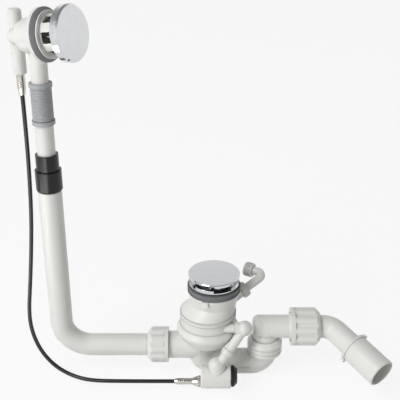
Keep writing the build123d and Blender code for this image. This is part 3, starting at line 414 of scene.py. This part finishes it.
def make_finishes(look):
    """One material for each slot of the record.

    Real grain and hairline marks are finer than these, which are drawn as coarse as they need to show.
    """
    edge = look.edge_round
    return {
        # Injection moulded polypropylene: white, waxy and slightly uneven in gloss
        "white_plastic": moulded_plastic(
            "moulded_white_polypropylene", look.polypropylene, edge,
            darker=0.955, ior=1.49, roughness=0.36, flow_mm=30, grain_mm=0.45, depth_mm=0.012),
        # Injection moulded ABS: deep black with a glossy skin
        "black_plastic": moulded_plastic(
            "moulded_black_abs", look.abs_black, edge,
            darker=0.7, ior=1.4, roughness=0.2, flow_mm=18, grain_mm=0.4, depth_mm=0.006),
        # Machined or moulded acetal: milky grey with a soft gloss
        "grey_plastic": moulded_plastic(
            "moulded_grey_acetal", look.acetal, 0.4 * edge,
            darker=0.92, ior=1.48, roughness=0.4, flow_mm=14, grain_mm=0.4, depth_mm=0.01),
        # Soft plasticised hose: dull grey with a coarse skin
        "grey_hose": moulded_plastic(
            "soft_grey_hose", look.hose, 0.6 * edge,
            darker=0.85, ior=1.53, roughness=0.52, flow_mm=8, grain_mm=0.8, depth_mm=0.04),
        # Extruded sheath: black, smooth and half glossy
        "cable_black": moulded_plastic(
            "extruded_black_sheath", look.sheath, 0.3 * edge,
            darker=0.7, ior=1.51, roughness=0.3, flow_mm=12, grain_mm=0.5, depth_mm=0.015),
        # Chrome on brass or plastic: mirror bright, wiped
        "chrome": plated_metal(
            "bright_chrome_plate", look.chrome, edge,
            roughness=0.07, smear_mm=14, scratch_mm=0.5, depth_mm=0.0006),
        # Nickel on turned brass: warmer and duller than chrome
        "nickel": plated_metal(
            "satin_nickel_plate", look.nickel, 0.5 * edge,
            roughness=0.2, smear_mm=5, scratch_mm=0.4, depth_mm=0.004),
        # Stainless steel screws as headed and rolled: a plain grey shine
        "steel": plated_metal(
            "plain_stainless_steel", look.steel, 0.5 * edge,
            roughness=0.26, smear_mm=4, scratch_mm=0.35, depth_mm=0.005),
        # Moulded EPDM gaskets: mid grey and matt
        "grey_rubber": moulded_rubber(
            "moulded_grey_epdm", look.gasket, edge,
            bloom_mm=9, grain_mm=0.7, depth_mm=0.05),
        # Nitrile rings and lips: black and matt
        "black_rubber": moulded_rubber(
            "moulded_black_nitrile", look.nitrile, 0.5 * edge,
            bloom_mm=6, grain_mm=0.6, depth_mm=0.03),
    }


def into_scene(name, data):
    """A new object in the scene, at the origin."""
    item = bpy.data.objects.new(name, data)
    bpy.context.scene.collection.objects.link(item)
    return item


def paint(data, slot):
    """Gives a mesh or curve the finish of a slot and no other."""
    data.materials.clear()
    data.materials.append(FINISH[slot])


def belong(piece):
    """Makes a piece move with the waste."""
    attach(piece, "waste")


def settle_modifiers(piece):
    """Turns what a piece's modifiers make into its own plain mesh."""
    ready = piece.evaluated_get(bpy.context.evaluated_depsgraph_get())
    mesh = bpy.data.meshes.new_from_object(ready)
    piece.modifiers.clear()
    piece.data = mesh
    return mesh


def middle(node):
    """The middle of a node's box."""
    low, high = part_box(node)
    return (Vector(low) + Vector(high)) / 2


def end_middle(node, axis, corner):
    """The middle of one end of a node's box, low or high along an axis."""
    place = middle(node)
    place[axis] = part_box(node)[corner][axis]
    return place


def new_tree(name, sizes):
    """An empty geometry tree with its named inputs."""
    tree = bpy.data.node_groups.new(name, "GeometryNodeTree")
    tree.is_modifier = True
    tree.interface.new_socket("Mesh", in_out="OUTPUT", socket_type="NodeSocketGeometry")
    for label, kind in {**sizes, "Finish": "NodeSocketMaterial"}.items():
        tree.interface.new_socket(label, in_out="INPUT", socket_type=kind)
    return tree, add(tree, "NodeGroupInput").outputs


def end_tree(tree, geometry, finish):
    """Ends a geometry tree in one smooth mesh with its finish."""
    single = add(tree, "GeometryNodeRealizeInstances", {"Geometry": geometry})
    smooth = add(tree, "GeometryNodeSetShadeSmooth", {"Geometry": single.outputs["Geometry"]})
    painted = add(
        tree, "GeometryNodeSetMaterial", {"Geometry": smooth.outputs["Geometry"], "Material": finish})
    add(tree, "NodeGroupOutput", {"Mesh": painted.outputs["Geometry"]})
    return tree


def ridge_tree():
    """Rounded ridges in a ring about +Z."""
    tree, size = new_tree("grip_ridges", {
        "Count": "NodeSocketInt", "Ring radius": "NodeSocketFloat", "Length": "NodeSocketFloat",
        "Half width": "NodeSocketFloat"})
    half = add(tree, "ShaderNodeMath", {0: size["Length"]}, {1: 0.5}, operation="MULTIPLY")
    stretch = add(
        tree, "ShaderNodeCombineXYZ",
        {"X": size["Half width"], "Y": size["Half width"], "Z": half.outputs["Value"]})
    bead = add(
        tree, "GeometryNodeMeshUVSphere",
        values={"Segments": BEAD_STEPS, "Rings": BEAD_RINGS, "Radius": 1.0})
    ridge = add(
        tree, "GeometryNodeTransform",
        {"Geometry": bead.outputs["Mesh"], "Scale": stretch.outputs["Vector"]})
    ring = add(
        tree, "GeometryNodeMeshCircle", {"Vertices": size["Count"], "Radius": size["Ring radius"]})
    ridges = add(
        tree, "GeometryNodeInstanceOnPoints",
        {"Points": ring.outputs["Mesh"], "Instance": ridge.outputs["Geometry"]})
    return end_tree(tree, ridges.outputs["Instances"], size["Finish"])


def crimp_tree():
    """Beads round +Z, one above the other."""
    tree, size = new_tree("crimp_beads", {
        "Count": "NodeSocketInt", "Spacing": "NodeSocketFloat", "Ring radius": "NodeSocketFloat",
        "Bead radius": "NodeSocketFloat"})
    ring = add(
        tree, "GeometryNodeCurvePrimitiveCircle", {"Radius": size["Ring radius"]},
        {"Resolution": RING_STEPS})
    section = add(
        tree, "GeometryNodeCurvePrimitiveCircle", {"Radius": size["Bead radius"]},
        {"Resolution": BEAD_STEPS})
    bead = add(
        tree, "GeometryNodeCurveToMesh",
        {"Curve": ring.outputs["Curve"], "Profile Curve": section.outputs["Curve"]})
    step = add(tree, "ShaderNodeCombineXYZ", {"Z": size["Spacing"]})
    row = add(
        tree, "GeometryNodeMeshLine", {"Count": size["Count"], "Offset": step.outputs["Vector"]})
    beads = add(
        tree, "GeometryNodeInstanceOnPoints",
        {"Points": row.outputs["Mesh"], "Instance": bead.outputs["Mesh"]})
    return end_tree(tree, beads.outputs["Instances"], size["Finish"])


def thread_tree():
    """A right-handed screw thread about +Z that runs out at both ends."""
    tree, size = new_tree("screw_thread", {
        "Pitch": "NodeSocketFloat", "Depth": "NodeSocketFloat", "Length": "NodeSocketFloat",
        "Root radius": "NodeSocketFloat"})
    turns = add(tree, "ShaderNodeMath", {0: size["Length"], 1: size["Pitch"]}, operation="DIVIDE")
    line = add(
        tree, "GeometryNodeCurveSpiral",
        {"Rotations": turns.outputs["Value"], "Start Radius": size["Root radius"],
         "End Radius": size["Root radius"], "Height": size["Length"]},
        {"Resolution": RING_STEPS})
    level = add(tree, "GeometryNodeSetCurveNormal", {"Curve": line.outputs["Curve"]}, mode="Z_UP")
    along = add(tree, "GeometryNodeSplineParameter").outputs["Factor"]
    rise = add(tree, "ShaderNodeMapRange", {"Value": along}, {"From Max": THREAD_RUN_OUT})
    fall = add(
        tree, "ShaderNodeMapRange", {"Value": along},
        {"From Min": 1.0, "From Max": 1.0 - THREAD_RUN_OUT})
    height = add(
        tree, "ShaderNodeMath", {0: rise.outputs["Result"], 1: fall.outputs["Result"]},
        operation="MULTIPLY")
    diamond = add(
        tree, "GeometryNodeCurvePrimitiveCircle", {"Radius": size["Depth"]}, {"Resolution": 4})
    thread = add(
        tree, "GeometryNodeCurveToMesh",
        {"Curve": level.outputs["Curve"], "Profile Curve": diamond.outputs["Curve"],
         "Scale": height.outputs["Value"]},
        {"Fill Caps": True})
    return end_tree(tree, thread.outputs["Mesh"], size["Finish"])


def grow(name, tree, sizes, slot, base, axis):
    """Adds a plain mesh made by a geometry tree, with its foot at base and its +Z along axis."""
    piece = into_scene(name, bpy.data.meshes.new(name))
    modifier = piece.modifiers.new("grow", "NODES")
    modifier.node_group = tree
    values = {**sizes, "Finish": FINISH[slot]}
    for item in tree.interface.items_tree:
        if item.in_out == "INPUT":
            modifier[item.identifier] = values[item.name]
    mesh = settle_modifiers(piece)
    mesh.transform(Matrix.Translation(base) @ UPRIGHT.rotation_difference(axis).to_matrix().to_4x4())
    belong(piece)


def combine(piece, other, operation):
    """Joins a closed piece with another, or keeps what they share, and deletes the other."""
    boolean = piece.modifiers.new("combine", "BOOLEAN")
    boolean.operation = operation
    boolean.solver = "MANIFOLD"
    boolean.object = other
    settle_modifiers(piece)
    bpy.data.objects.remove(other)


def as_mesh(shape, name):
    """The mesh of a finished shape."""
    mesh = bpy.data.meshes.new(name)
    shape.to_mesh(mesh)
    shape.free()
    return mesh


def merged(mesh):
    """A copy of a mesh in which points that all but touch are one."""
    shell = bmesh.new()
    shell.from_mesh(mesh)
    bmesh.ops.remove_doubles(shell, verts=shell.verts, dist=MERGE_DISTANCE)
    return as_mesh(shell, mesh.name)


def in_order(mesh):
    """A mesh's bare points and faces, sorted by place, because a cut leaves them in any order."""
    places = [vertex.co.to_tuple() for vertex in mesh.vertices]
    order = sorted(range(len(places)), key=places.__getitem__)
    rank = {old: new for new, old in enumerate(order)}
    faces = []
    for face in mesh.polygons:
        corners = [rank[vertex] for vertex in face.vertices]
        first = corners.index(min(corners))
        faces.append(corners[first:] + corners[:first])
    ordered = bpy.data.meshes.new(mesh.name)
    ordered.from_pydata([places[old] for old in order], [], sorted(faces))
    return ordered


def round_bar(start, end, radius):
    """A closed round bar from start to end."""
    bar = bmesh.new()
    way = end - start
    turn = UPRIGHT.rotation_difference(way).to_matrix().to_4x4()
    bmesh.ops.create_cone(
        bar, cap_ends=True, segments=BAR_STEPS, radius1=radius, radius2=radius, depth=way.length,
        matrix=Matrix.Translation((start + end) / 2) @ turn)
    return bar


def oval_bar(left, right, lower, upper, radius, end_round):
    """A closed bar along X, round below lower and above upper, with rounded ends."""
    bar = bmesh.new()
    turns = [math.pi * step / CASE_STEPS for step in range(CASE_STEPS + 1)]
    outline = [upper + radius * Vector((0, math.cos(turn), math.sin(turn))) for turn in turns]
    outline += [lower - radius * Vector((0, math.cos(turn), math.sin(turn))) for turn in turns]
    face = bar.faces.new([bar.verts.new((left, *point.yz)) for point in outline])
    extruded = bmesh.ops.extrude_face_region(bar, geom=[face])["geom"]
    right_end = [part for part in extruded if isinstance(part, bmesh.types.BMVert)]
    bmesh.ops.translate(bar, verts=right_end, vec=(right - left, 0, 0))
    bmesh.ops.recalc_face_normals(bar, faces=bar.faces)
    rims = [edge for edge in bar.edges if edge.verts[0].co.x == edge.verts[1].co.x]
    bmesh.ops.bevel(
        bar, geom=rims, offset=end_round, segments=CASE_EDGE_STEPS, profile=0.5, affect="EDGES")
    return bar


def housing_trim(size):
    """What stays of the lever housing: an oval case, a domed neck, the slanting tube and all above."""
    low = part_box("lever_housing")[LOW]
    cap_low, cap_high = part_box("housing_cap")
    upper = middle("housing_cap")
    radius = (cap_high.z - cap_low.z) / 2
    lower = Vector((upper.x, upper.y, low.z + radius))
    case = oval_bar(low.x, cap_low.x, lower, upper, radius, size.case_round)
    neck_foot = Vector((NECK_X, upper.y, lower.z))
    neck_end = Vector((NECK_X, upper.y, 2 * upper.z - low.z))
    neck = round_bar(neck_foot, neck_end + UPRIGHT * NECK_RUN, NECK_RADIUS + TRIM_GAP)
    dome = bmesh.new()
    bmesh.ops.create_uvsphere(
        dome, u_segments=DOME_STEPS, v_segments=DOME_STEPS // 2, radius=NECK_RADIUS + TRIM_GAP,
        matrix=Matrix.Translation(neck_end))
    tube = round_bar(SLANT_FOOT, SLANT_END, SLANT_RADIUS + TRIM_GAP)
    collar_foot = SLANT_FOOT + (SLANT_END - SLANT_FOOT).normalized() * (COLLAR_FROM - TRIM_GAP)
    collar = round_bar(collar_foot, SLANT_END, COLLAR_RADIUS + TRIM_GAP)
    above = bmesh.new()
    bmesh.ops.create_cube(
        above, size=UNCUT_ROOM, matrix=Matrix.Translation((0, 0, UNCUT_FROM + UNCUT_ROOM / 2)))
    shapes = (case, neck, dome, tube, collar, above)
    trim, *others = [into_scene("housing_trim", as_mesh(shape, "housing_trim")) for shape in shapes]
    for other in others:
        combine(trim, other, "UNION")
    return trim


def seen_directly(tree):
    """1 where the camera sees a surface, or sees it in gloss or glass, and 0 where it only gives light."""
    path = add(tree, "ShaderNodeLightPath").outputs
    mirrored = add(
        tree, "ShaderNodeMath", {0: path["Is Glossy Ray"], 1: path["Is Transmission Ray"]},
        operation="MAXIMUM")
    seen = add(
        tree, "ShaderNodeMath", {0: path["Is Camera Ray"], 1: mirrored.outputs["Value"]},
        operation="MAXIMUM")
    return seen.outputs["Value"]


def lay_floor(look):
    """Lays a pale floor that keeps the object's shadow and fades to plain white far off."""
    corners = [(-1, -1), (1, -1), (1, 1), (-1, 1)]
    ground = bpy.data.meshes.new("floor")
    ground.from_pydata(
        [(x * FLOOR_HALF, y * FLOOR_HALF, CAD_LOW.z) for x, y in corners], [], [(0, 1, 2, 3)])
    material, tree, at = fresh_material("pale_floor")
    matt = add(
        tree, "ShaderNodeBsdfPrincipled",
        values={"Base Color": (*look.floor, 1.0), "Roughness": 0.9, "Specular IOR Level": 0.1})
    plain = add(tree, "ShaderNodeEmission", values={"Color": WHITE, "Strength": 1.0})
    away = add(tree, "ShaderNodeVectorMath", {0: at}, operation="LENGTH")
    fade = add(
        tree, "ShaderNodeMapRange", {"Value": away.outputs["Value"]},
        {"From Min": FADE_FROM, "From Max": FADE_TO, "To Min": look.haze, "To Max": 1.0},
        interpolation_type="SMOOTHSTEP")
    share = add(
        tree, "ShaderNodeMath", {0: seen_directly(tree), 1: fade.outputs["Result"]},
        operation="MULTIPLY")
    hazy = add(
        tree, "ShaderNodeMixShader",
        {"Fac": share.outputs["Value"], 1: matt.outputs["BSDF"], 2: plain.outputs["Emission"]})
    add(tree, "ShaderNodeOutputMaterial", {"Surface": hazy.outputs["Shader"]})
    ground.materials.append(material)
    into_scene("floor", ground)


def light_sky(look):
    """Lights the object softly from all round, before a white room with a dimmer ceiling in metal."""
    sky = bpy.data.worlds.new("studio")
    sky.use_nodes = True
    tree = sky.node_tree
    tree.nodes.clear()
    direction = add(tree, "ShaderNodeTexCoord").outputs["Generated"]
    upward = add(tree, "ShaderNodeSeparateXYZ", {"Vector": direction}).outputs["Z"]
    room = add(
        tree, "ShaderNodeMapRange", {"Value": upward},
        {"From Min": CEILING_FROM, "From Max": CEILING_FULL, "To Min": 1.0, "To Max": look.ceiling},
        interpolation_type="SMOOTHSTEP")
    camera_ray = add(tree, "ShaderNodeLightPath").outputs["Is Camera Ray"]
    shown = add(
        tree, "ShaderNodeMath", {0: camera_ray, 1: room.outputs["Result"]}, operation="MAXIMUM")
    strength = add(
        tree, "ShaderNodeMapRange", {"Value": seen_directly(tree), "To Max": shown.outputs["Value"]},
        {"To Min": look.sky})
    back = add(
        tree, "ShaderNodeBackground", {"Strength": strength.outputs["Result"]}, {"Color": WHITE})
    add(tree, "ShaderNodeOutputWorld", {"Surface": back.outputs["Background"]})
    bpy.context.scene.world = sky


def area_lamp(name, place, size, power):
    """A soft rectangular lamp that faces the middle of the object."""
    lamp = bpy.data.lights.new(name, "AREA")
    lamp.shape = "RECTANGLE"
    lamp.size, lamp.size_y = size
    lamp.energy = power
    holder = into_scene(name, lamp)
    holder.location = place
    to_object = (CAD_LOW + CAD_HIGH) / 2 - Vector(place)
    holder.rotation_euler = to_object.to_track_quat("-Z", "Y").to_euler()
    return holder


def hang_lamps(look):
    """Hangs a large lamp from the upper left, a tall one beside it and a low one that faces up."""
    area_lamp("key", KEY_PLACE, KEY_SIZE, look.key)
    area_lamp("strip", STRIP_PLACE, STRIP_SIZE, look.strip)
    # The low lamp only shows in gloss, as a bright line along the pipes and the black pieces
    gleam = area_lamp("gleam", GLEAM_PLACE, GLEAM_SIZE, look.gleam)
    gleam.rotation_euler = (math.pi, 0, GLEAM_TURN)
    gleam.visible_camera = False
    gleam.visible_diffuse = False


def stand_camera():
    """Stands the camera at the photograph's viewing angle."""
    lens = bpy.data.cameras.new("camera")
    lens.lens = CAMERA_LENS
    lens.sensor_width = CAMERA_SENSOR
    camera = into_scene("camera", lens)
    camera.location = CAMERA_PLACE
    camera.rotation_euler = (CAMERA_TILT, 0, 0)
    bpy.context.scene.camera = camera


class BATHWASTE_OT_finishes(Operator):
    """Give every solid the finish of its material slot"""

    bl_idname = "bathwaste.finishes"
    bl_label = "Finishes"

    def execute(self, context):
        FINISH.update(make_finishes(context.scene.waste_finishes))
        for node, solid in frame["nodes"].items():
            paint(solid.data, SLOT_OF[node])
        return {"FINISHED"}


class BATHWASTE_OT_lever_housing(Operator):
    """Trim the lever housing to its oval case and domed neck"""

    bl_idname = "bathwaste.lever_housing"
    bl_label = "Lever housing"

    def execute(self, context):
        piece = into_scene("round_lever_housing", merged(frame["nodes"]["lever_housing"].data))
        combine(piece, housing_trim(context.scene.waste_sizes), "INTERSECT")
        mesh = merged(in_order(piece.data))
        piece.data = mesh
        mesh.shade_smooth()
        mesh.set_sharp_from_angle(angle=SHARP_ANGLE)
        paint(mesh, "white_plastic")
        belong(piece)
        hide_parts("lever_housing")
        return {"FINISHED"}


class BATHWASTE_OT_cable(Operator):
    """Lay the sheathed cable along its route"""

    bl_idname = "bathwaste.cable"
    bl_label = "Cable"

    def execute(self, context):
        diameter = context.scene.waste_sizes.cable_diameter
        line = bpy.data.curves.new("pull_cable", "CURVE")
        line.dimensions = "3D"
        line.bevel_depth = diameter / 2
        line.bevel_resolution = 6
        line.use_fill_caps = True
        spline = line.splines.new("NURBS")
        spline.points.add(len(CABLE_ROUTE) - 1)
        for point, place in zip(spline.points, CABLE_ROUTE):
            point.co = (*place, 1.0)
        spline.order_u = 3
        spline.use_endpoint_u = True
        spline.resolution_u = 16
        paint(line, "cable_black")
        cable = into_scene("pull_cable", line)
        belong(cable)
        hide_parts("bowden_cable")
        return {"FINISHED"}


class BATHWASTE_OT_inlet_thread(Operator):
    """Cut the screw thread on the end of the filling tube"""

    bl_idname = "bathwaste.inlet_thread"
    bl_label = "Inlet thread"

    def execute(self, context):
        size = context.scene.waste_sizes
        mount = MOUNTS["inlet_thread"]
        axis = Vector(mount["axis"])
        length = mount["dims"]["length_mm"] * MM - 2 * size.thread_depth
        sizes = {
            "Pitch": size.thread_pitch, "Depth": size.thread_depth, "Length": length,
            "Root radius": mount["dims"]["r_mm"] * MM}
        base = Vector(mount["pos_m"]) - axis * length / 2
        grow("inlet_thread", thread_tree(), sizes, "white_plastic", base, axis)
        return {"FINISHED"}


class BATHWASTE_OT_grips(Operator):
    """Put grip ridges round the cable nut, the filling tube's nut and the housing's end cap"""

    bl_idname = "bathwaste.grips"
    bl_label = "Grip ridges"

    def execute(self, context):
        size = context.scene.waste_sizes
        tree = ridge_tree()
        nut_grip = end_middle("cable_nut", X, HIGH) - ALONG_X * CABLE_NUT_INSET
        cap_grip = end_middle("housing_cap", X, LOW) + ALONG_X * END_CAP_INSET
        for name, slot, count, radius, length, at, axis in (
            ("cable_nut_ridges", "nickel", size.cable_nut_ridges, CABLE_NUT_RING, CABLE_NUT_RIDGE,
             nut_grip, ALONG_X),
            ("inlet_nut_ridges", "white_plastic", size.inlet_nut_ridges, INLET_NUT_RING, INLET_NUT_RIDGE,
             middle("inlet_nut"), INLET_AXIS),
            ("end_cap_ridges", "black_plastic", size.end_cap_ridges, END_CAP_RING, END_CAP_RIDGE,
             cap_grip, ALONG_X),
        ):
            sizes = {
                "Count": count, "Ring radius": radius, "Length": length, "Half width": size.ridge_size}
            grow(name, tree, sizes, slot, at, axis)
        return {"FINISHED"}


class BATHWASTE_OT_crimps(Operator):
    """Press beads round the two ferrules of the cable"""

    bl_idname = "bathwaste.crimps"
    bl_label = "Ferrule crimps"

    def execute(self, context):
        size = context.scene.waste_sizes
        tree = crimp_tree()
        upper = end_middle("upper_ferrule", Z, LOW)
        lower = end_middle("lower_ferrule", X, LOW)
        for name, radius, foot, start, axis in (
            ("upper_crimps", UPPER_CRIMP_RING, upper, UPPER_CRIMP_START, UPRIGHT),
            ("lower_crimps", LOWER_CRIMP_RING, lower, LOWER_CRIMP_START, ALONG_X),
        ):
            sizes = {
                "Count": size.crimp_count, "Spacing": size.crimp_spacing, "Ring radius": radius,
                "Bead radius": size.crimp_bead}
            grow(name, tree, sizes, "nickel", foot + axis * start, axis)
        return {"FINISHED"}


class BATHWASTE_OT_stage(Operator):
    """Set up the floor, the light and the camera"""

    bl_idname = "bathwaste.stage"
    bl_label = "Stage"

    def execute(self, context):
        context.scene.view_settings.view_transform = "Standard"
        look = context.scene.waste_stage
        lay_floor(look)
        light_sky(look)
        hang_lamps(look)
        stand_camera()
        return {"FINISHED"}


class BATHWASTE_PT_sidebar(Panel):
    """Sizes, colours and steps of the bath waste"""

    bl_idname = "BATHWASTE_PT_sidebar"
    bl_label = "Bath waste"
    bl_space_type = "VIEW_3D"
    bl_region_type = "UI"
    bl_category = "Bath waste"

    def draw(self, context):
        scene = context.scene
        for settings in (scene.waste_finishes, scene.waste_sizes, scene.waste_stage):
            box = self.layout.box()
            for name in settings.__annotations__:
                box.prop(settings, name)
        for step in STEPS:
            self.layout.operator(step.bl_idname)


STEPS = (
    BATHWASTE_OT_finishes,
    BATHWASTE_OT_lever_housing,
    BATHWASTE_OT_cable,
    BATHWASTE_OT_inlet_thread,
    BATHWASTE_OT_grips,
    BATHWASTE_OT_crimps,
    BATHWASTE_OT_stage,
)
SETTINGS = {"waste_finishes": WasteFinishes, "waste_sizes": WasteSizes, "waste_stage": WasteStage}
CLASSES = (*SETTINGS.values(), *STEPS, BATHWASTE_PT_sidebar)


def register():
    for cls in CLASSES:
        bpy.utils.register_class(cls)
    for name, cls in SETTINGS.items():
        setattr(bpy.types.Scene, name, PointerProperty(type=cls))


def unregister():
    for name in SETTINGS:
        delattr(bpy.types.Scene, name)
    for cls in reversed(CLASSES):
        bpy.utils.unregister_class(cls)


def main():
    register()
    bpy.ops.bathwaste.finishes()
    bpy.ops.bathwaste.lever_housing()
    bpy.ops.bathwaste.cable()
    bpy.ops.bathwaste.inlet_thread()
    bpy.ops.bathwaste.grips()
    bpy.ops.bathwaste.crimps()
    bpy.ops.bathwaste.stage()


if __name__ == "__main__":
    main()
